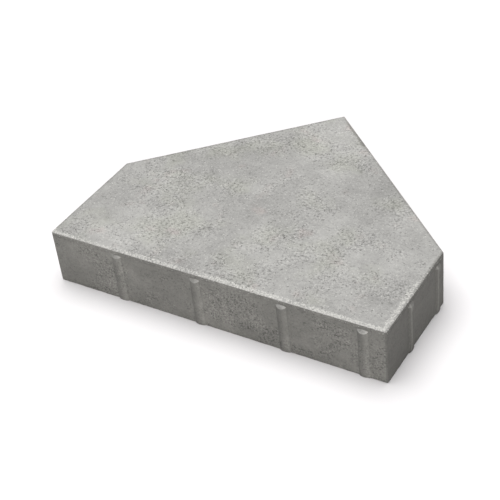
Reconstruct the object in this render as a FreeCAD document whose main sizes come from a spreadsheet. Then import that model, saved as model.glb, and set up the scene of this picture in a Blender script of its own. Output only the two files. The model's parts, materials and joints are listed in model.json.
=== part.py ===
"""Mitre paver: a pentagonal concrete edge slab for paving that is laid on the diagonal.

The slab is pressed face down in a steel mould in two mixes, a fine facing concrete and, behind it,
a coarser backing concrete.  Upright rounded spacer nibs on all five sides hold the joints open.
Each mix region and each nib is a body of its own.

Frame: millimetres, +Z up, the slab lying on z = 0 with its long side facing -Y.  The origin is on
the underside, in the middle of the rectangle that the plan just fits into.
"""

import FreeCAD
import Part
import math
import os
import Sketcher

OUT = "parts"
SHEET = "Sizes"

# Driving dimensions, in millimetres and degrees: (alias, value, what it is).
SIZES = [
    ("base_length", 421.0, "long side, end to end"),
    ("left_side", 151.0, "left short side, square to the long side"),
    ("right_side", 141.0, "right short side, square to the long side"),
    ("peak_from_left", 198.0, "distance of the peak from the left end, along the long side"),
    ("peak_from_front", 347.0, "distance of the peak from the long side"),
    ("thickness", 70.0, "underside to walking face"),
    ("facing_depth", 5.0, "depth of the facing concrete"),
    ("arris_bevel", 1.0, "45 degree bevel round the walking face"),
    ("corner_excess", 0.5, "how much larger the upright corners' radius is than the bevel"),
    ("nib_width", 13.0, "width of a spacer nib on the side it stands on"),
    ("nib_projection", 3.0, "how far a nib stands proud, which is the joint width"),
    ("nib_below_facing", 0.5, "distance from the facing's underside down to the top of a nib"),
    ("nib_top_slope", 55.0, "slope of the cut across a nib's top end"),
    ("long_end_gap", 26.5, "last nib to the corner, on the long side and the mitre sides"),
    ("long_gap_1", 94.0, "last nib to the one before it, on the same sides"),
    ("long_gap_2", 107.0, "next gap back"),
    ("long_gap_3", 103.5, "next gap back again"),
    ("short_end_gap", 16.0, "last nib to the corner, on the two short sides"),
    ("short_gap_1", 68.0, "last nib to the one before it, on the two short sides"),
]

# Nib spacings counted back from a side's last corner.
LONG_GAPS = ("long_end_gap", "long_gap_1", "long_gap_2", "long_gap_3")
SHORT_GAPS = ("short_end_gap", "short_gap_1")

# Each side in turn, anticlockwise from above: (name, first corner, last corner, nib spacings).
# The spacings are lopsided, so where two slabs meet the nibs of one never stand on the other's.
SIDES = [
    ("front", "front_left", "front_right", LONG_GAPS),
    ("right", "front_right", "shoulder_right", SHORT_GAPS),
    ("right_mitre", "shoulder_right", "peak", LONG_GAPS[:3]),
    ("left_mitre", "peak", "shoulder_left", LONG_GAPS[:3]),
    ("left", "shoulder_left", "front_left", SHORT_GAPS),
]

# Sketcher's numbers for a line's ends, a sketch's axes and its origin point.
START = 1
END = 2
X_AXIS = -1
Y_AXIS = -2
ORIGIN = (-1, 1)


def make_sheet(doc):
    """The spreadsheet that every sketch and feature is bound to."""
    sheet = doc.addObject("Spreadsheet::Sheet", SHEET)
    for row, (alias, value, note) in enumerate(SIZES, start=1):
        sheet.set(f"A{row}", alias)
        sheet.set(f"B{row}", str(value))
        sheet.set(f"C{row}", note)
        sheet.setAlias(f"B{row}", alias)
    doc.recompute()
    return sheet


def new_body(doc, label):
    """An empty body whose label names its file."""
    body = doc.addObject("PartDesign::Body", label)
    body.Label = label
    return body


def new_sketch(body, name, role):
    """An empty sketch on one of the body's own origin planes, such as XY_Plane."""
    plane = next(feature for feature in body.Origin.OriginFeatures if feature.Role == role)
    sketch = body.newObject("Sketcher::SketchObject", name)
    sketch.AttachmentSupport = (plane, [""])
    sketch.MapMode = "FlatFace"
    return sketch


def dimension(sketch, name, expression, kind, *references):
    """Adds a dimension to the sketch and ties it to the spreadsheet.

    The last of the references is the size as drawn, which the expression then replaces."""
    index = sketch.addConstraint(Sketcher.Constraint(kind, *references))
    sketch.renameConstraint(index, name)
    sketch.setExpression(f"Constraints.{name}", expression)


def corners(sheet):
    """The plan's five corners, as points on z = 0."""
    left = -sheet.base_length / 2
    right = sheet.base_length / 2
    front = -sheet.peak_from_front / 2
    return {
        "front_left": FreeCAD.Vector(left, front, 0),
        "front_right": FreeCAD.Vector(right, front, 0),
        "shoulder_right": FreeCAD.Vector(right, front + sheet.right_side, 0),
        "peak": FreeCAD.Vector(left + sheet.peak_from_left, front + sheet.peak_from_front, 0),
        "shoulder_left": FreeCAD.Vector(left, front + sheet.left_side, 0),
    }


def outline_sketch(body, sheet):
    """The pentagon: a long side, two short sides square to it and two mitre sides."""
    sketch = new_sketch(body, f"{body.Label}_outline", "XY_Plane")
    places = corners(sheet)
    for _, first, last, _ in SIDES:
        sketch.addGeometry(Part.LineSegment(places[first], places[last]), False)
    front, right, right_mitre, _, left = range(len(SIDES))
    for side in range(len(SIDES)):
        following = (side + 1) % len(SIDES)
        sketch.addConstraint(Sketcher.Constraint("Coincident", side, END, following, START))
    sketch.addConstraint(Sketcher.Constraint("Horizontal", front))
    sketch.addConstraint(Sketcher.Constraint("Vertical", right))
    sketch.addConstraint(Sketcher.Constraint("Vertical", left))

    half_length = sheet.base_length / 2
    half_depth = sheet.peak_from_front / 2
    long_side = (front, START, front, END)
    right_side = (right, START, right, END)
    left_side = (left, END, left, START)
    to_peak = (front, START, right_mitre, END)
    to_origin = (front, START, *ORIGIN)
    dimension(sketch, "base_length", f"{SHEET}.base_length", "DistanceX", *long_side, 2 * half_length)
    dimension(sketch, "right_side", f"{SHEET}.right_side", "DistanceY", *right_side, sheet.right_side)
    dimension(sketch, "left_side", f"{SHEET}.left_side", "DistanceY", *left_side, sheet.left_side)
    dimension(sketch, "peak_x", f"{SHEET}.peak_from_left", "DistanceX", *to_peak, sheet.peak_from_left)
    dimension(sketch, "peak_y", f"{SHEET}.peak_from_front", "DistanceY", *to_peak, 2 * half_depth)
    dimension(sketch, "half_length", f"{SHEET}.base_length / 2", "DistanceX", *to_origin, half_length)
    dimension(sketch, "half_depth", f"{SHEET}.peak_from_front / 2", "DistanceY", *to_origin, half_depth)
    return sketch


def upright_edges(shape):
    """Names of the edges that run straight up."""
    names = []
    for number, edge in enumerate(shape.Edges, start=1):
        low, high = (vertex.Point for vertex in edge.Vertexes)
        rise = high - low
        if math.hypot(rise.x, rise.y) < 1e-6 < abs(rise.z):
            names.append(f"Edge{number}")
    return names


def top_face(shape):
    """Name of the flat face at the shape's highest level."""
    level = shape.BoundBox.ZMax - 1e-6
    return next(f"Face{n}" for n, face in enumerate(shape.Faces, start=1) if face.BoundBox.ZMin > level)


def slab_layer(doc, sheet, label, depth_rule):
    """A prism on the slab's outline with its five upright corners rounded, and its last feature."""
    body = new_body(doc, label)
    pad = body.newObject("PartDesign::Pad", f"{label}_pad")
    pad.Profile = outline_sketch(body, sheet)
    pad.setExpression("Length", depth_rule)
    doc.recompute()
    rounding = body.newObject("PartDesign::Fillet", f"{label}_corners")
    rounding.Base = (pad, upright_edges(pad.Shape))
    rounding.setExpression("Radius", f"{SHEET}.arris_bevel + {SHEET}.corner_excess")
    doc.recompute()
    return body, rounding


def backing_concrete(doc, sheet):
    """The coarser mix that carries the load, from the bedding up to the facing."""
    body, _ = slab_layer(doc, sheet, "backing_concrete", f"{SHEET}.thickness - {SHEET}.facing_depth")
    return body


def facing_concrete(doc, sheet):
    """The fine mix of the walking face, bevelled all round, on top of the backing concrete."""
    body, rounding = slab_layer(doc, sheet, "facing_concrete", f"{SHEET}.facing_depth")
    bevel = body.newObject("PartDesign::Chamfer", "facing_concrete_arris")
    bevel.Base = (rounding, [top_face(rounding.Shape)])
    bevel.setExpression("Size", f"{SHEET}.arris_bevel")
    body.setExpression("Placement.Base.z", f"{SHEET}.thickness - {SHEET}.facing_depth")
    doc.recompute()
    return body


def nib_section(body, sheet):
    """A nib's section: a chord on the slab's side and an arc that bulges to -Y."""
    width = sheet.nib_width
    reach = sheet.nib_projection
    radius = (width**2 / 4 + reach**2) / (2 * reach)
    half_angle = math.acos((radius - reach) / radius)
    circle = Part.Circle(FreeCAD.Vector(0, radius - reach, 0), FreeCAD.Vector(0, 0, 1), radius)
    outwards = -math.pi / 2

    sketch = new_sketch(body, f"{body.Label}_section", "XY_Plane")
    ends = FreeCAD.Vector(-width / 2, 0, 0), FreeCAD.Vector(width / 2, 0, 0)
    chord = sketch.addGeometry(Part.LineSegment(*ends), False)
    bulge = Part.ArcOfCircle(circle, outwards - half_angle, outwards + half_angle)
    arc = sketch.addGeometry(bulge, False)
    sketch.addConstraint(Sketcher.Constraint("PointOnObject", chord, START, X_AXIS))
    sketch.addConstraint(Sketcher.Constraint("Symmetric", chord, START, chord, END, Y_AXIS))
    sketch.addConstraint(Sketcher.Constraint("Coincident", arc, START, chord, START))
    sketch.addConstraint(Sketcher.Constraint("Coincident", arc, END, chord, END))
    radius_rule = (
        f"({SHEET}.nib_width * {SHEET}.nib_width / 4 + {SHEET}.nib_projection * {SHEET}.nib_projection)"
        f" / (2 * {SHEET}.nib_projection)"
    )
    dimension(sketch, "nib_width", f"{SHEET}.nib_width", "DistanceX", chord, START, chord, END, width)
    dimension(sketch, "nib_radius", radius_rule, "Radius", arc, radius)
    return sketch


def nib_top_cut(body, sheet):
    """The triangle above the slope across a nib's top end, twice as wide as the nib is proud."""
    top = sheet.thickness - sheet.facing_depth - sheet.nib_below_facing
    width = 2 * sheet.nib_projection
    fall = width * math.tan(math.radians(sheet.nib_top_slope))
    root = FreeCAD.Vector(0, top, 0)
    toe = FreeCAD.Vector(-width, top - fall, 0)
    outer = FreeCAD.Vector(-width, top, 0)

    sketch = new_sketch(body, f"{body.Label}_top_cut", "YZ_Plane")
    ramp = sketch.addGeometry(Part.LineSegment(root, toe), False)
    wall = sketch.addGeometry(Part.LineSegment(toe, outer), False)
    lid = sketch.addGeometry(Part.LineSegment(outer, root), False)
    for line, following in ((ramp, wall), (wall, lid), (lid, ramp)):
        sketch.addConstraint(Sketcher.Constraint("Coincident", line, END, following, START))
    sketch.addConstraint(Sketcher.Constraint("Vertical", wall))
    sketch.addConstraint(Sketcher.Constraint("Horizontal", lid))
    sketch.addConstraint(Sketcher.Constraint("PointOnObject", lid, END, Y_AXIS))
    top_rule = f"{SHEET}.thickness - {SHEET}.facing_depth - {SHEET}.nib_below_facing"
    width_rule = f"2 * {SHEET}.nib_projection"
    fall_rule = f"{width_rule} * tan({SHEET}.nib_top_slope * 1 deg)"
    dimension(sketch, "nib_top", top_rule, "DistanceY", *ORIGIN, lid, END, top)
    dimension(sketch, "cut_width", width_rule, "DistanceX", lid, START, lid, END, width)
    dimension(sketch, "cut_fall", fall_rule, "DistanceY", wall, START, wall, END, fall)
    return sketch


def spacer_nib(doc, sheet, label):
    """One upright nib in its own frame: root plane y = 0, outwards is -Y, foot on z = 0."""
    body = new_body(doc, label)
    pad = body.newObject("PartDesign::Pad", f"{label}_pad")
    pad.Profile = nib_section(body, sheet)
    pad.setExpression("Length", f"{SHEET}.thickness - {SHEET}.facing_depth - {SHEET}.nib_below_facing")
    doc.recompute()
    uncut_volume = pad.Shape.Volume
    cut = body.newObject("PartDesign::Pocket", f"{label}_top")
    cut.Profile = nib_top_cut(body, sheet)
    cut.Type = "ThroughAll"
    cut.Midplane = True
    doc.recompute()
    if not 0 < cut.Shape.Volume < uncut_volume:
        raise RuntimeError(f"{label}: the sloping cut across its top removed nothing")
    return body


def side_nibs(doc, sheet, name, start, finish, gaps):
    """One side's nibs, each with its root on the side's plane, numbered from the side's start."""
    along = finish - start
    station = along.Length
    along.normalize()
    turn = FreeCAD.Rotation(FreeCAD.Vector(1, 0, 0), along)
    bodies = []
    for number, gap in zip(range(len(gaps), 0, -1), gaps):
        station -= getattr(sheet, gap)
        body = spacer_nib(doc, sheet, f"spacer_nib_{name}_{number}")
        body.Placement = FreeCAD.Placement(start + along * station, turn)
        bodies.append(body)
    return bodies


def check(doc, bodies):
    """Stops the build if a feature failed or a body is not one valid closed solid."""
    for item in doc.Objects:
        if "Invalid" in item.State or "Error" in item.State:
            raise RuntimeError(f"{item.Label} is {item.State}")
    for body in bodies:
        shape = body.Shape
        if shape.isNull() or not shape.isValid() or len(shape.Solids) != 1 or shape.Volume <= 0:
            raise RuntimeError(f"{body.Label} is not one valid solid")


def export(bodies):
    """Writes each body, in place, to parts/LABEL.step."""
    os.makedirs(OUT, exist_ok=True)
    for body in bodies:
        body.Shape.exportStep(os.path.join(OUT, f"{body.Label}.step"))


def main():
    doc = FreeCAD.newDocument("mitre_paver")
    sheet = make_sheet(doc)
    places = corners(sheet)
    bodies = [backing_concrete(doc, sheet), facing_concrete(doc, sheet)]
    for name, first, last, gaps in SIDES:
        bodies += side_nibs(doc, sheet, name, places[first], places[last], gaps)
    doc.recompute()
    check(doc, bodies)
    export(bodies)
    litres = sum(body.Shape.Volume for body in bodies) / 1e6
    print(f"{len(bodies)} bodies, {litres:.3f} litres of concrete")


main()
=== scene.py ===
import json
import math

import bpy
import numpy as np
from mathutils import Matrix, Vector


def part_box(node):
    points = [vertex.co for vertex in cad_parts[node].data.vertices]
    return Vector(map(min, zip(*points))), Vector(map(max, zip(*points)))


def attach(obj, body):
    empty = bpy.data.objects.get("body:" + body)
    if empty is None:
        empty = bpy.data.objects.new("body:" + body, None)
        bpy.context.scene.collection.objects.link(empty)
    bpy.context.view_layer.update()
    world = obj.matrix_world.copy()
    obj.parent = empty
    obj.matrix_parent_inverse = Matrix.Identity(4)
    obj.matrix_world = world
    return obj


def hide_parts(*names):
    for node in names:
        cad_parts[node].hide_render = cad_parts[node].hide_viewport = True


# A pressed-concrete mitre paver: the facing concrete with its worn arris, the backing concrete, and
# fourteen spacer nibs.  Each stands for the CAD node of the same mix or nib, a little inside it,
# because a cast face is never quite flat.  Metres, +Z up, the slab lying on z = 0.

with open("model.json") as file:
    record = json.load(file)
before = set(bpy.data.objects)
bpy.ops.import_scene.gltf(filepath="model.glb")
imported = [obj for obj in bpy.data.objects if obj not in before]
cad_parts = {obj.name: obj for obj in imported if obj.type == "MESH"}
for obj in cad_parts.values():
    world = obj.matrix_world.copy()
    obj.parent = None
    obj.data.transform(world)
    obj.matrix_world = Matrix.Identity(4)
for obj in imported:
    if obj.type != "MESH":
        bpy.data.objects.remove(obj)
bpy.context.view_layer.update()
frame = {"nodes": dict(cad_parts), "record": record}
MM = 0.001
UP = np.array([0.0, 0.0, 1.0])


# ---------------------------------------------------------------------------------------------
# Sizes taken from the frame
# ---------------------------------------------------------------------------------------------

BACKING_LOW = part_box("backing_concrete")[0]
FACING_LOW, FACING_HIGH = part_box("facing_concrete")
NIB_PROUD = BACKING_LOW.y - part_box("spacer_nib_front_1")[0].y
BED = BACKING_LOW.z
SEAM = FACING_LOW.z
FACE = FACING_HIGH.z

# The frame doesn't give these as boxes: the bevel round the face, the radius of the upright corners,
# and the fall of a nib's cut top for each millimetre that it stands proud.
BEVEL = 1.0 * MM
CORNER_RADIUS = 1.5 * MM
NIB_SLOPE = math.tan(math.radians(55))

# How deep a nib's skin runs on inside the slab, and the height of the slab's crumbled foot.
NIB_ROOT = 1.2 * MM
FOOT = 0.5 * MM


def plan_corners():
    """The plan's five sharp corners, anticlockwise, as an array of (x, y).

    Each joint mount in the record gives one side: a point one nib's height outside it, and its
    outward normal.  A corner is where two neighbouring sides cross: normal . point is the same on
    every point of a side, which makes two linear equations."""
    mounts = [m for m in frame["record"]["mounts"] if m["name"].endswith("_joint")]
    normals = np.array([m["axis"][:2] for m in mounts])
    reach = np.array([np.dot(m["pos_m"][:2], m["axis"][:2]) for m in mounts]) - NIB_PROUD
    before = np.roll(np.arange(len(mounts)), 1)
    pairs = np.stack([normals[before], normals], axis=1)
    return np.linalg.solve(pairs, np.stack([reach[before], reach], axis=1)[..., None])[..., 0]


# Corners 0 and 1 are the long side's left and right ends, 2 and 4 the shoulders, and 3 the peak.
CORNERS = plan_corners()
WORN_CORNER = CORNERS[1]
RIGHT_SIDE = CORNERS[1, 0]
PEAK = CORNERS[3]


# ---------------------------------------------------------------------------------------------
# Relief: noise worked out for whole arrays of points
# ---------------------------------------------------------------------------------------------


def lattice_noise(points, size, seed):
    """Smooth noise from 0 to 1 with bumps about `size` metres across.

    A hash gives every corner of a cubic lattice a random number; the eight numbers round a point are
    blended with the weights t*t*(3 - 2*t) of its place in its cube."""
    place = points / size
    cell = np.floor(place).astype(np.int64)
    t = place - cell
    t = t * t * (3 - 2 * t)
    total = np.zeros(points.shape[:-1])
    for corner in np.ndindex(2, 2, 2):
        x, y, z = np.moveaxis(cell + corner, -1, 0)
        mixed = (x * 73856093) ^ (y * 19349663) ^ (z * 83492791) ^ (seed * 2654435761)
        mixed = (mixed ^ (mixed >> 13)) * 1274126177 & 0x7FFFFFFF
        mixed = (mixed ^ (mixed >> 15)) * 668265263 & 0x7FFFFFFF
        weight = np.prod(np.where(corner, t, 1 - t), axis=-1)
        total += weight * (mixed / 0x7FFFFFFF)
    return total


def rough(points, size, seed, octaves=3):
    """Noise from 0 to 1 with detail: each octave is half as large and half as strong as the last."""
    strengths = 0.5 ** np.arange(octaves)
    layers = [s * lattice_noise(points, size * s, seed + i) for i, s in enumerate(strengths)]
    return sum(layers) / strengths.sum()


def smooth_step(value, low, high):
    """0 below low, 1 above high, and t*t*(3 - 2*t) in between."""
    t = np.clip((value - low) / (high - low), 0, 1)
    return t * t * (3 - 2 * t)


def steps(count):
    """From 0 to 1 in that many equal steps, without the 0."""
    return np.linspace(0, 1, count + 1)[1:]


# ---------------------------------------------------------------------------------------------
# Meshes
# ---------------------------------------------------------------------------------------------


def ring_mesh(name, rings, first_pole, last_pole):
    """A closed skin through a stack of closed rings.

    rings is an array (ring, point, 3).  Neighbouring rings are joined by quads; each end is closed by
    a fan to its pole point.  Rings run anticlockwise seen from the last pole's side."""
    ring_count, point_count, _ = rings.shape
    vertices = [rings.reshape(-1, 3), [first_pole], [last_pole]]
    number = np.arange(ring_count * point_count).reshape(ring_count, point_count)
    onwards = np.roll(number, -1, axis=1)
    quads = np.stack([number[:-1], onwards[:-1], onwards[1:], number[1:]], axis=-1).reshape(-1, 4)
    first, last = ring_count * point_count, ring_count * point_count + 1
    start_fan = np.stack([onwards[0], number[0], np.full(point_count, first)], axis=-1)
    end_fan = np.stack([number[-1], onwards[-1], np.full(point_count, last)], axis=-1)
    return mesh_object(name, np.concatenate(vertices), quads, np.concatenate([start_fan, end_fan]))


def mesh_object(name, vertices, quads, triangles):
    """An object whose mesh has those vertices, quads and triangles, shaded smooth."""
    mesh = bpy.data.meshes.new(name)
    loops = np.concatenate([quads.ravel(), triangles.ravel()]).astype(np.int32)
    sizes = np.concatenate([np.full(len(quads), 4), np.full(len(triangles), 3)])
    starts = np.concatenate([[0], np.cumsum(sizes)[:-1]]).astype(np.int32)
    mesh.vertices.add(len(vertices))
    mesh.vertices.foreach_set("co", vertices.astype(np.float32).ravel())
    mesh.loops.add(len(loops))
    mesh.loops.foreach_set("vertex_index", loops)
    mesh.polygons.add(len(sizes))
    mesh.polygons.foreach_set("loop_start", starts)
    mesh.update(calc_edges=True)
    mesh.validate()
    mesh.polygons.foreach_set("use_smooth", np.ones(len(mesh.polygons), bool))
    piece = bpy.data.objects.new(name, mesh)
    bpy.context.scene.collection.objects.link(piece)
    return piece


def add_attribute(piece, name, values):
    """Stores one number for each vertex, for the materials to read."""
    attribute = piece.data.attributes.new(name, "FLOAT", "POINT")
    attribute.data.foreach_set("value", values.astype(np.float32).ravel())


def settle(piece, slot, material, *nodes):
    """Puts the piece in the object: it rides on the slab and stands for those CAD nodes."""
    piece.data.materials.append(material)
    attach(piece, "root")
    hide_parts(*nodes)


# ---------------------------------------------------------------------------------------------
# The slab's outline
# ---------------------------------------------------------------------------------------------


def side_directions(corners):
    """Each side's length, direction and outward normal.  A side starts at the corner of its number."""
    along = np.roll(corners, -1, axis=0) - corners
    lengths = np.linalg.norm(along, axis=1)
    along = along / lengths[:, None]
    return lengths, along, np.stack([along[:, 1], -along[:, 0]], axis=1)


def rounded_outline(corners, radius, step, arc_points=7):
    """Points and outward normals once round a convex polygon with rounded corners.

    A side is a straight run between the points where its two corner arcs start; an arc's points are
    its centre plus radius times a normal that turns evenly from one side's normal to the next's."""
    points, normals = [], []
    lengths, along, outwards = side_directions(corners)
    heading = np.arctan2(outwards[:, 1], outwards[:, 0])
    turn = (np.roll(heading, -1) - heading) % (2 * math.pi)
    cut = radius * np.tan(turn / 2)
    for side in range(len(corners)):
        length = lengths[side] - cut[side - 1] - cut[side]
        runs = int(length / step)
        places = cut[side - 1] + np.arange(runs) / runs * length
        points.append(corners[side] + places[:, None] * along[side])
        normals.append(np.repeat(outwards[side][None], runs, axis=0))
        start = corners[side] + (lengths[side] - cut[side]) * along[side]
        angles = heading[side] + np.arange(arc_points) / arc_points * turn[side]
        arc_normals = np.stack([np.cos(angles), np.sin(angles)], axis=1)
        points.append(start + radius * (arc_normals - outwards[side]))
        normals.append(arc_normals)
    return np.concatenate(points), np.concatenate(normals)


OUTLINE_STEP = 1.45 * MM
OUTLINE, NORMALS = rounded_outline(CORNERS, CORNER_RADIUS, OUTLINE_STEP)
OUTWARDS = np.concatenate([NORMALS, np.zeros((len(NORMALS), 1))], axis=1)
MIDDLE = CORNERS.mean(axis=0)


def rings_round(insets, heights, shrinks):
    """Rings at those heights: the outline moved inwards by each inset, then shrunk to the middle."""
    edge = OUTLINE[None] - insets[:, None, None] * NORMALS[None]
    plan = MIDDLE + shrinks[:, None, None] * (edge - MIDDLE)
    rise = np.broadcast_to(heights[:, None, None], plan.shape[:2] + (1,))
    return np.concatenate([plan, rise], axis=2)


def edge_gap(shrinks):
    """How far the points of rings with those shrinks lie inside the outline, towards the middle."""
    return (1 - shrinks)[:, None] * np.linalg.norm(OUTLINE - MIDDLE, axis=1)


def cast_face_depth(points):
    """How far a mould-struck side lies inside its true plane: a slow wave, fine grit, a few pits."""
    wave = 0.22 * MM * rough(points, 26 * MM, 11)
    grit = 0.16 * MM * rough(points, 4.5 * MM, 23, octaves=2)
    pits = 0.55 * MM * smooth_step(lattice_noise(points, 5.5 * MM, 37), 0.86, 0.97)
    return wave + grit + pits


def rubbed_edge(points):
    """About 1 along the edges that were handled most: the long side, more and more towards the worn
    corner, and the right side's first part."""
    away = np.linalg.norm(points[..., :2] - WORN_CORNER, axis=-1)
    near_corner = 1 - smooth_step(away, 70 * MM, 115 * MM)
    long_side = 1 - smooth_step(points[..., 1] - WORN_CORNER[1], 5 * MM, 11 * MM)
    towards_corner = 1 - smooth_step(away, 20 * MM, 160 * MM)
    return np.maximum(near_corner, long_side * (0.86 + 0.3 * towards_corner))


def shade_beside_right(points):
    """Weight of the painted shade along the right arris: 1 up to 0.6 mm inside the right side's plane,
    falling to 0 at 3.4 mm inside it.
    """
    return smooth_step(points[..., 0], RIGHT_SIDE - 3.4 * MM, RIGHT_SIDE - 0.6 * MM)


def painted_edge_shade(points, from_arris):
    """How much painted shade darkens the face along the edges outside the rubbed ones, standing in
    for bevels turned away from the light: a line along every such edge, and a broader strip for a
    stretch to the right of the peak."""
    from_peak = np.linalg.norm(points[..., :2] - PEAK, axis=-1)
    strip = smooth_step(from_peak, 8 * MM, 22 * MM) * (1 - smooth_step(from_peak, 70 * MM, 95 * MM))
    strip = strip * (points[..., 0] > PEAK[0])
    strength = 0.42 * (1 - np.minimum(rubbed_edge(points), 1)) + 0.45 * strip
    return strength * (1 - smooth_step(from_arris / (1 + 0.8 * strip), 0.9 * MM, 3.2 * MM))


def wear_at(points):
    """How hard the arris is worn there, from 0 to 1: the rubbed edges, and patches everywhere."""
    patches = smooth_step(rough(points, 24 * MM, 51, octaves=2), 0.35, 0.7)
    return 0.04 + 0.5 * rubbed_edge(points) + 0.16 * patches


def arris_depth(points):
    """How much of the arris is rubbed or broken away, in metres: crumbs, and a few larger chips."""
    crumbs = 0.3 * MM * smooth_step(rough(points, 3.2 * MM, 61, octaves=2), 0.35, 0.8)
    chips = 0.6 * MM * smooth_step(rough(points, 8 * MM, 71, octaves=2), 0.66, 0.86)
    return wear_at(points) * (crumbs + chips)


# ---------------------------------------------------------------------------------------------
# Shader maths
# ---------------------------------------------------------------------------------------------


class Shade:
    """One value of a material, at every point of the surface.  Arithmetic on it adds Math nodes."""

    def __init__(self, tree, socket):
        self.tree = tree
        self.socket = socket

    def maths(self, operation, *operands):
        return node(self.tree, "ShaderNodeMath", 0, dict(enumerate(operands)), operation=operation)

    def __add__(self, other):
        return self.maths("ADD", self, other)

    def __radd__(self, other):
        return self.maths("ADD", other, self)

    def __sub__(self, other):
        return self.maths("SUBTRACT", self, other)

    def __rsub__(self, other):
        return self.maths("SUBTRACT", other, self)

    def __mul__(self, other):
        return self.maths("MULTIPLY", self, other)

    def __rmul__(self, other):
        return self.maths("MULTIPLY", other, self)

    def between(self, low, high):
        """0 below low, 1 above high, smooth in between."""
        feeds = {"Value": self, "From Min": low, "From Max": high}
        return node(self.tree, "ShaderNodeMapRange", 0, feeds, interpolation_type="SMOOTHSTEP")


def node(tree, kind, output, feeds, **settings):
    """Adds a node, sets its settings, feeds its inputs by name or number, and returns one output."""
    made = tree.nodes.new(kind)
    for name, value in settings.items():
        setattr(made, name, value)
    for name, value in feeds.items():
        if isinstance(value, Shade):
            tree.links.new(value.socket, made.inputs[name])
        else:
            made.inputs[name].default_value = value
    return Shade(tree, made.outputs[output])


def noise(place, scale, detail=2.0, roughness=0.5):
    """Soft noise from 0 to 1, with `scale` bumps to the metre."""
    feeds = {"Vector": place, "Scale": scale, "Detail": detail, "Roughness": roughness}
    return node(place.tree, "ShaderNodeTexNoise", "Fac", feeds)


def grains(place, scale, output):
    """Packed grains, `scale` to the metre: each grain's Color, or the Distance from its middle."""
    return node(place.tree, "ShaderNodeTexVoronoi", output, {"Vector": place, "Scale": scale})


def grain_value(place, scale):
    """A random number from 0 to 1 for each packed grain."""
    colour = grains(place, scale, "Color")
    return node(place.tree, "ShaderNodeSeparateColor", "Red", {"Color": colour})


def stretched(place, x, y, z):
    """Coordinates scaled along each axis, so that a pattern on them is drawn out or squeezed."""
    feeds = {0: place, 1: (x, y, z)}
    return node(place.tree, "ShaderNodeVectorMath", 0, feeds, operation="MULTIPLY")


def coordinate(place, letter):
    """The place's X, Y or Z coordinate."""
    return node(place.tree, "ShaderNodeSeparateXYZ", letter, {0: place})


def blend(factor, first, second):
    """The first colour where the factor is 0, and the second where it is 1."""
    feeds = {"Factor": factor, 6: first, 7: second}
    return node(factor.tree, "ShaderNodeMix", 2, feeds, data_type="RGBA")


def brightened(colour, amount):
    """The colour times a number."""
    feeds = {0: colour[:3] if isinstance(colour, tuple) else colour, "Scale": amount}
    return node(amount.tree, "ShaderNodeVectorMath", 0, feeds, operation="SCALE")


def attribute(tree, name):
    """A number stored on the vertices."""
    return node(tree, "ShaderNodeAttribute", "Fac", {}, attribute_name=name)


def new_material(name):
    """An empty material with its shader, its node tree and Object coordinates."""
    material = bpy.data.materials.new(name)
    material.use_nodes = True
    tree = material.node_tree
    shader = next(n for n in tree.nodes if n.type == "BSDF_PRINCIPLED")
    place = node(tree, "ShaderNodeTexCoord", "Object", {})
    return material, shader, place


def finish(shader, colour, roughness, height, depth, strength):
    """Feeds the shader: colour, roughness, and a bump `depth` metres deep."""
    tree = roughness.tree
    bump = node(tree, "ShaderNodeBump", 0, {"Height": height, "Distance": depth, "Strength": strength})
    tree.links.new(colour.socket, shader.inputs["Base Color"])
    tree.links.new(roughness.socket, shader.inputs["Roughness"])
    tree.links.new(bump.socket, shader.inputs["Normal"])
    shader.inputs["Specular IOR Level"].default_value = 0.3


# ---------------------------------------------------------------------------------------------
# Finishes
# ---------------------------------------------------------------------------------------------

# Concrete colours, linear.
FACE_GREY = (0.334, 0.330, 0.320, 1)
FACE_OLIVE = (0.329, 0.329, 0.304, 1)
FACE_PINK = (0.355, 0.330, 0.318, 1)
BARE_SAND = (0.500, 0.492, 0.470, 1)
SIDE_GREY = (0.176, 0.173, 0.160, 1)
SIDE_PALE = (0.191, 0.187, 0.173, 1)


def specks(place, scale, share, reach):
    """1 in the middle of about a `share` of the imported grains, 0 beyond `reach` grain widths from it."""
    spot = 1 - grains(place, scale, "Distance").between(0.3 * reach, reach)
    return spot * (grain_value(place, scale) + share).between(0.97, 1.0)


def facing_look(place):
    """Colour, roughness and height of the walking face: fine sand in pale paste, clouded with patches
    where the paste has closed over the sand, and open gritty patches full of pores."""
    cloud = noise(place, 11, 6, 0.78)
    open_patch = noise(place, 15, 5, 0.65).between(0.46, 0.56)
    grit = noise(place, 300, 2, 0.8)
    sand = grain_value(place, 620)
    light = 1.0 + (cloud - 0.5) * 1.3 + (grit - 0.5) * (0.3 + 0.6 * open_patch)
    light = light + (sand - 0.5) * (0.10 + 0.26 * open_patch)
    pit = 1 - (grit - 0.06 * open_patch).between(0.28, 0.42)
    pore = specks(place, 360, 0.03 + 0.12 * open_patch, 0.44)
    grain = specks(place, 430, 0.05 + 0.16 * open_patch, 0.45)
    light = light * (1 - 0.5 * pore) * (1 - 0.3 * pit) + 0.14 * grain
    tint = blend(noise(place, 17, 3).between(0.48, 0.68), FACE_GREY, FACE_OLIVE)
    tint = blend(noise(place, 29, 3).between(0.58, 0.75), tint, FACE_PINK)
    roughness = 0.86 + 0.1 * grit
    height = 0.4 * sand + 0.6 * grit + 0.4 * grain - 1.1 * pore
    return brightened(tint, light), roughness, height


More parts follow.
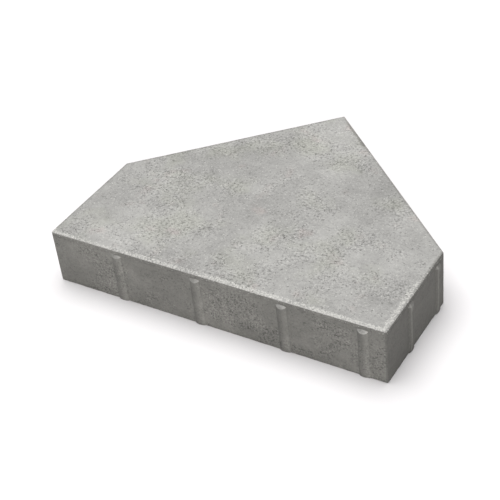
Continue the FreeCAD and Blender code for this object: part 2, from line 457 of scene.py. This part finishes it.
def side_look(place, openness=1.0):
    """Colour, roughness and height of a mould-struck side: smooth dark paste broken by open patches
    of sand and pores, fewer in the finer mix near the walking face, and faint level bands left by the
    filling.  The right side came out smoother than the others, and its colour is darkened there as
    painted shade."""
    cloud = noise(place, 20, 6, 0.72)
    # 1 near the right side: smoother there, and darkened there as painted shade.
    smooth_shaded_side = coordinate(place, "X").between(RIGHT_SIDE - 2.6 * MM, RIGHT_SIDE - 1.3 * MM)
    upper = coordinate(place, "Z").between(FACE - 16 * MM, FACE - 5 * MM)
    patch_edges = noise(place, 17, 5, 0.65).between(0.485, 0.56)
    open_patch = patch_edges * (1 - 0.7 * smooth_shaded_side) * (1 - 0.65 * upper) * openness
    bands = noise(stretched(place, 20, 20, 130), 1, 3)
    grit = noise(place, 460, 2, 0.8)
    light = 1.0 + ((cloud - 0.5) * 0.85 + (bands - 0.5) * 0.25) * (1 - 0.6 * smooth_shaded_side)
    light = light + (grit - 0.5) * (0.65 + 1.25 * open_patch) - 0.05 * open_patch
    pit = 1 - (grit - 0.07 * open_patch).between(0.26, 0.42)
    pore = specks(place, 520, 0.01 + 0.13 * open_patch, 0.44)
    grain = specks(place, 540, 0.2 * open_patch, 0.44)
    light = light * (1 - 0.36 * pore) * (1 - 0.24 * pit * (1 - 0.6 * smooth_shaded_side))
    # Painted shade: the colour near the right side is darkened by 27.5 %, for the shade that side is in.
    light = (light + 0.4 * grain) * (1 - 0.275 * smooth_shaded_side)
    tint = blend(cloud.between(0.45, 0.65), SIDE_GREY, SIDE_PALE)
    roughness = 0.78 + 0.14 * grit
    height = grit + 0.5 * grain - pore
    return brightened(tint, light), roughness, height


def facing_material():
    """The facing concrete: its face, its mould-struck rim, and the paler sand its worn arris bares."""
    material, shader, place = new_material("facing_concrete")
    face_look = attribute(shader.id_data, "face_look")
    worn = attribute(shader.id_data, "worn")
    face_colour, face_roughness, face_height = facing_look(place)
    rim_colour, rim_roughness, rim_height = side_look(place)
    crumb = noise(place, 520, 2, 0.8)
    bare = (worn * 1.5 + (crumb - 0.5) * 5.0).between(0.5, 1.1)
    # face_look is partly painted shade: where it is lowered along the edges, the dark side colour stands
    # in for shade.
    colour = blend(face_look, rim_colour, face_colour)
    colour = blend(bare * 0.9, colour, brightened(BARE_SAND, 0.5 + crumb))
    roughness = rim_roughness + face_look * (face_roughness - rim_roughness)
    height = rim_height + face_look * (face_height - rim_height) + worn * crumb
    finish(shader, colour, roughness, height, 0.35 * MM, 0.55)
    return material


def backing_material():
    """The backing concrete's sides and underside."""
    material, shader, place = new_material("backing_concrete")
    colour, roughness, height = side_look(place)
    finish(shader, colour, roughness, height, 0.35 * MM, 0.5)
    return material


def nib_material():
    """A spacer nib: like the sides, with a pale bared top, and painted light and shade: one flank
    painted paler and the other darker.
    """
    material, shader, place = new_material("nib_concrete")
    colour, roughness, height = side_look(place, 0.45)
    crumb = noise(place, 300, 3, 0.7)
    rubbed = attribute(shader.id_data, "worn") * (0.3 + crumb)
    colour = blend(rubbed, colour, brightened(BARE_SAND, 0.5 + 0.5 * crumb))
    # Painted light and shade: the paler number lightens and darkens parts of each nib, for how the light
    # falls on it.
    colour = brightened(colour, 0.93 + 0.12 * crumb + 0.17 * attribute(shader.id_data, "paler"))
    finish(shader, colour, roughness, height, 0.3 * MM, 0.5)
    return material


# ---------------------------------------------------------------------------------------------
# The slab's two mixes
# ---------------------------------------------------------------------------------------------


def facing_section():
    """The facing's section, from the middle of the face outwards and down: each ring's inset from the
    outline, its drop below the face, and its shrink towards the middle.

    On the face the rings crowd towards the edge, and on the rim towards the bevel.  On the bevel the
    inset falls as the height does, along an arc-like path, so both of its edges are soft."""
    face_rings, bevel_rings, rim_rings = 73, 6, 5
    round_over = steps(bevel_rings)
    bevel_inset = BEVEL * (1 - round_over) ** 1.15
    bevel_drop = BEVEL * round_over**1.15
    rim_drop = BEVEL + steps(rim_rings) ** 1.4 * (FACE - BEVEL - SEAM)
    face_shrink = 1 - (1 - steps(face_rings)) ** 1.35
    insets = np.concatenate([np.full(face_rings, BEVEL), bevel_inset, np.zeros(rim_rings)])
    drops = np.concatenate([np.zeros(face_rings), bevel_drop, rim_drop])
    shrinks = np.concatenate([face_shrink, np.ones(bevel_rings + rim_rings)])
    return insets, drops, shrinks


def facing_slab(material):
    """The facing concrete: a flat disc of rings out to the bevel, the bevel, then the upright rim.

    Wear takes the arris back along the bevel's own normal.  Its weight is 1 on the bevel and fades
    over the next few millimetres of face and rim, further where the edge was rubbed.  The face itself
    sinks by slow and fine noise, and the rim lies as deep as any cast side.  Two numbers are stored
    for the material: face_look is 1 on the face and 0 on the sides, and is lowered by painted shade
    along the right arris and along the edges outside the rubbed ones; worn says how hard the arris
    is rubbed, less along the right arris under painted shade."""
    insets, drops, shrinks = facing_section()
    rings = rings_round(insets, FACE - drops, shrinks)

    from_arris = np.maximum(edge_gap(shrinks), np.maximum(drops - BEVEL, 0)[:, None])
    rubbed = rubbed_edge(rings)
    weight = 1 - smooth_step(from_arris / (2 * MM + 7 * MM * rubbed), 0.4 * rubbed, 1.1)
    bared = weight * (1 - smooth_step(drops, BEVEL, BEVEL + 0.3 * MM))[:, None]
    lowered = (1 - smooth_step(drops, 0.2 * BEVEL, BEVEL + 2 * MM))[:, None, None]
    on_face = 1 - smooth_step(drops, 0, 0.7 * BEVEL)[:, None] * np.ones(len(OUTLINE))

    worn_away = (weight * arris_depth(rings))[..., None]
    sunk = 0.28 * MM * rough(rings, 34 * MM, 81) + 0.12 * MM * rough(rings, 6 * MM, 91, octaves=2)
    inwards = ((1 - on_face) * cast_face_depth(rings))[..., None]
    rings = rings - worn_away * (OUTWARDS + lowered * UP) * math.sqrt(0.5)
    rings = rings - inwards * OUTWARDS - (on_face * sunk)[..., None] * UP

    # The rings run from the middle of the face outwards and down, so they are stacked from below.
    rings = rings[::-1]
    low_pole = np.array([*MIDDLE, SEAM])
    high_pole = np.array([*MIDDLE, rings[-1, :, 2].mean()])
    piece = ring_mesh("facing_slab", rings, low_pole, high_pole)
    # Painted shade: the face look is lowered along the right arris and along the unrubbed edges, which
    # blends the dark side colour in there.
    pale = np.maximum(on_face, np.minimum(bared * rubbed, 1))[::-1] * (1 - 0.3 * shade_beside_right(rings))
    pale = pale * (1 - painted_edge_shade(rings, from_arris[::-1]))
    # Painted shade also dims the bared sand along the right arris.
    worn = bared[::-1] * wear_at(rings) * (1 - 0.55 * shade_beside_right(rings))
    add_attribute(piece, "face_look", np.append(pale.ravel(), [0, 1]))
    add_attribute(piece, "worn", np.append(worn.ravel(), [0, 0]))
    settle(piece, "facing_concrete", material, "facing_concrete")


def backing_section():
    """The backing's section, from the middle of the underside outwards and up: each ring's inset from
    the outline, its height above the bed, and its shrink towards the middle.

    At the foot the inset falls from the underside's edge to nothing over the foot's height."""
    under_rings, foot_rings, side_rings = 39, 4, 33
    turn = steps(foot_rings)
    foot_inset = FOOT * (1 - turn) ** 1.5
    side_height = FOOT + steps(side_rings) * (SEAM - BED - FOOT)
    insets = np.concatenate([np.full(under_rings, FOOT), foot_inset, np.zeros(side_rings)])
    heights = np.concatenate([np.zeros(under_rings), FOOT * turn**1.5, side_height])
    shrinks = np.concatenate([steps(under_rings) ** 0.8, np.ones(foot_rings + side_rings)])
    return insets, heights, shrinks


def backing_slab(material):
    """The backing concrete: a rough underside of shrunken rings, a crumbled foot, upright sides.

    The underside is raised by coarse noise, which fades out towards its edge.  Noise breaks the foot
    back further, and the sides lie as deep as any cast side."""
    insets, heights, shrinks = backing_section()
    rings = rings_round(insets, BED + heights, shrinks)

    upright = smooth_step(heights, 0, 3 * FOOT)[:, None]
    under = 1 - smooth_step(heights, 0, FOOT)[:, None]
    away_from_edge = edge_gap(shrinks)
    inwards = cast_face_depth(rings) * upright
    crumbled = (1 - upright) * (away_from_edge < FOOT) * 0.6 * MM * rough(rings, 5 * MM, 101)
    raised = under * smooth_step(away_from_edge, 0, 6 * MM) * 1.4 * MM * rough(rings, 11 * MM, 111)
    rings = rings - (inwards + crumbled)[..., None] * OUTWARDS + raised[..., None] * UP

    low_pole = np.array([*MIDDLE, rings[0, :, 2].mean()])
    high_pole = np.array([*MIDDLE, SEAM])
    piece = ring_mesh("backing_slab", rings, low_pole, high_pole)
    settle(piece, "backing_concrete", material, "backing_concrete")


# ---------------------------------------------------------------------------------------------
# The spacer nibs
# ---------------------------------------------------------------------------------------------


def node_points(name):
    """The vertices of a CAD node."""
    mesh = frame["nodes"][name].data
    points = np.empty(len(mesh.vertices) * 3)
    mesh.vertices.foreach_get("co", points)
    return points.reshape(-1, 3)


def side_under(points):
    """Start, direction and outward normal of the side that a nib stands on: the side whose line the
    nib's middle is nearest to."""
    _, along, outwards = side_directions(CORNERS)
    middle = points[:, :2].mean(axis=0)
    side = np.argmin(np.abs(np.sum((middle - CORNERS) * outwards, axis=1)))
    return CORNERS[side], along[side], outwards[side]


def nib_section(half_width):
    """Across a nib: places along the side, and how far each stands out from it.

    The projection times a power of cos(angle) stands at the half-width times sin(angle).  The last
    two points close the ring inside the slab."""
    angles = np.radians(np.linspace(-90, 90, 29))
    across = np.concatenate([half_width * np.sin(angles), [half_width, -half_width]])
    proud = np.concatenate([NIB_PROUD * np.cos(angles) ** 1.4, [-NIB_ROOT, -NIB_ROOT]])
    return across, proud


def nib_rise(height):
    """Up a nib, ring by ring: the share of its projection that is left there, and how far the ring
    lies below the plane of the cut top.

    The share is whole up the body, falls a little over four rings at the cut's soft edge, and then
    falls to nothing over the cut itself."""
    body_rings, cut_rings = 42, 7
    body_drop = np.linspace(height - NIB_PROUD * NIB_SLOPE, 1.0 * MM, body_rings)
    edge_drop = np.array([0.82, 0.64, 0.50, 0.40]) * MM
    edge_share = [1.0, 0.985, 0.95, 0.88]
    share = np.concatenate([np.ones(body_rings), edge_share, np.linspace(0.78, 0.0, cut_rings)])
    drop = np.concatenate([body_drop, edge_drop, np.linspace(0.32, 0, cut_rings) * MM])
    return share, drop


def crest(place, reach):
    """1 along a nib's middle, falling as a squared cosine to 0 at `reach` of its half-width."""
    return np.cos(np.clip(place / reach, -1, 1) * math.pi / 2) ** 2


def nib_painted_light(place, rise, cut, on_right):
    """Painted light and shade on a nib: how much paler than the sides it is painted, or darker where
    this is below 0.

    place is -1 at the flank away from the worn corner and 1 at the flank towards it, and rise is 0 at
    the foot and 1 at the top.  A nib on the right side has one narrow painted highlight line and is
    elsewhere painted a little darker.  Any other has a painted dark flank and a painted pale one, and
    its middle is painted darker upwards, but less on the cut."""
    if on_right:
        return 2.5 * crest(place - 0.42, 0.31) - 0.15
    return 1.15 * place - (0.2 + rise) * crest(place, 1) * (1 - 0.5 * cut)


def spacer_nib(name, seed, material):
    """A spacer nib: a shallow bulge carried up the side, its top end cut off on a slope.

    The rings lie parallel to the cut, so a point's height falls by the slope times how far it stands
    proud.  Towards the flanks the top also falls away with the square of the place across, so the cut
    shows as an oval.  Noise eats the bulge, which is flatter near the foot, and the whole nib leans a
    little and lies as deep as the cast side under it does.  Two numbers are stored for the material:
    worn is highest on the cut, and paler is the painted light and shade on the nib's flanks and middle."""
    points = node_points(name)
    start, along, outwards = side_under(points)
    on_right = outwards[0] > 0.9
    travel = (points[:, :2] - start) @ along
    middle = (travel.min() + travel.max()) / 2
    half_width = (travel.max() - travel.min()) / 2
    low, high = points[:, 2].min(), points[:, 2].max()

    across, proud = nib_section(half_width)
    share, drop = nib_rise(high - low)
    y = np.where(proud > 0, proud * share[:, None], proud)
    z = high - np.maximum(y, 0) * NIB_SLOPE - drop[:, None]
    z = z - 1.5 * MM * (across / half_width) ** 2 * smooth_step(z, high - 9 * MM, high)
    z[0] = low

    shape = np.stack([np.broadcast_to(across, y.shape), y, z], axis=-1)
    uneven = rough(shape + seed, 7 * MM, seed, octaves=3)
    lean = lattice_noise(shape * UP + seed, 30 * MM, seed + 5)
    flatter = 0.4 * (1 - smooth_step(z, low, low + 16 * MM))
    eaten = 0.5 * MM * (uneven - 0.25) + 0.15 * MM * lean
    y = y - np.where(y > 0, 1, 0) * (eaten / NIB_PROUD + flatter) * y
    x = shape[..., 0] * (1 - 0.05 * smooth_step(z, low, high)) + 0.4 * MM * (lean - 0.5)

    plan = start + (middle + x)[..., None] * along + y[..., None] * outwards
    rings = np.concatenate([plan, z[..., None]], axis=2)
    rings[..., :2] -= cast_face_depth(rings)[..., None] * outwards
    piece = ring_mesh(name + "_cast", rings, rings[0].mean(axis=0), rings[-1].mean(axis=0))

    to_wear = (WORN_CORNER - start) @ along - middle
    rubbed = 0.25 * smooth_step(y, 0.6 * NIB_PROUD, NIB_PROUD) * smooth_step(z, high - 12 * MM, high)
    bare_top = 0.3 if on_right else 1 - 0.3 * smooth_step(abs(to_wear), 80 * MM, 220 * MM)
    cut = bare_top * smooth_step(1 - share, 0.0, 0.12)[:, None] * (y > 0)
    # Painted light and shade: which flank is painted pale and which dark follows the side the nib stands
    # on.
    place = math.copysign(1, to_wear) * np.broadcast_to(across / half_width, y.shape)
    paler = nib_painted_light(place, (z - low) / (high - low), cut, on_right)
    add_attribute(piece, "worn", np.append(np.maximum(rubbed, cut).ravel(), [0, 0]))
    add_attribute(piece, "paler", np.append(paler.ravel(), [0, 0]))
    settle(piece, "nib_concrete", material, name)


# ---------------------------------------------------------------------------------------------
# The studio
# ---------------------------------------------------------------------------------------------

CAMERA_PLACE = Vector((0.6319, -1.0054, 0.8922))
CAMERA_AIM = Vector((-0.0084, -0.0742, 0.0350))
CAMERA_ROLL = math.radians(-6.74)
CAMERA_LENS = 89.96
SENSOR_WIDTH = 36
FLOOR_REACH = 6.0
FLOOR_COLOUR = (0.797, 0.783, 0.795, 1)
SOFTBOX_COLOUR = (1.0, 0.998, 0.99)


def camera():
    """The camera, turned a little about its own line of sight."""
    data = bpy.data.cameras.new("camera")
    data.sensor_width = SENSOR_WIDTH
    data.lens = CAMERA_LENS
    view = bpy.data.objects.new("camera", data)
    aim = (CAMERA_AIM - CAMERA_PLACE).to_track_quat("-Z", "Y").to_matrix().to_4x4()
    view.matrix_world = Matrix.Translation(CAMERA_PLACE) @ aim @ Matrix.Rotation(CAMERA_ROLL, 4, "Z")
    bpy.context.scene.collection.objects.link(view)
    bpy.context.scene.camera = view


def floor():
    """A wide plain pale floor."""
    signs = [(-1, -1), (1, -1), (1, 1), (-1, 1)]
    corners = np.array([(x * FLOOR_REACH, y * FLOOR_REACH, BED) for x, y in signs])
    piece = mesh_object("floor", corners, np.array([[0, 1, 2, 3]]), np.empty((0, 3), int))
    material = bpy.data.materials.new("pale_floor")
    material.use_nodes = True
    shader = next(n for n in material.node_tree.nodes if n.type == "BSDF_PRINCIPLED")
    shader.inputs["Base Color"].default_value = FLOOR_COLOUR
    shader.inputs["Roughness"].default_value = 0.9
    shader.inputs["Specular IOR Level"].default_value = 0.1
    piece.data.materials.append(material)


def distant_light(name, energy, width, source):
    """A very distant round light, `width` degrees across, shining from the direction of source."""
    lamp = bpy.data.lights.new(name, "SUN")
    lamp.energy = energy
    lamp.angle = math.radians(width)
    lamp.color = SOFTBOX_COLOUR
    shining = bpy.data.objects.new(name, lamp)
    shining.rotation_mode = "QUATERNION"
    shining.rotation_quaternion = (-Vector(source)).to_track_quat("-Z", "Y")
    bpy.context.scene.collection.objects.link(shining)


def lights():
    """A very wide soft light overhead, a weaker one low in front, and a faint even glow all round."""
    distant_light("overhead_softbox", 3.95, 62, (-0.14, 0.085, 1.0))
    distant_light("front_softbox", 1.7, 20, (0.54, -0.84, 0.11))

    world = bpy.data.worlds.new("studio")
    world.use_nodes = True
    glow = next(n for n in world.node_tree.nodes if n.type == "BACKGROUND")
    glow.inputs["Color"].default_value = (1, 1, 1, 1)
    glow.inputs["Strength"].default_value = 0.06
    bpy.context.scene.world = world
    bpy.context.scene.view_settings.view_transform = "Standard"


camera()
floor()
lights()
facing_slab(facing_material())
backing_slab(backing_material())
nib_finish = nib_material()
nib_names = sorted(name for name in frame["nodes"] if name.startswith("spacer_nib_"))
for nib_seed, nib_name in enumerate(nib_names, start=1):
    spacer_nib(nib_name, nib_seed, nib_finish)
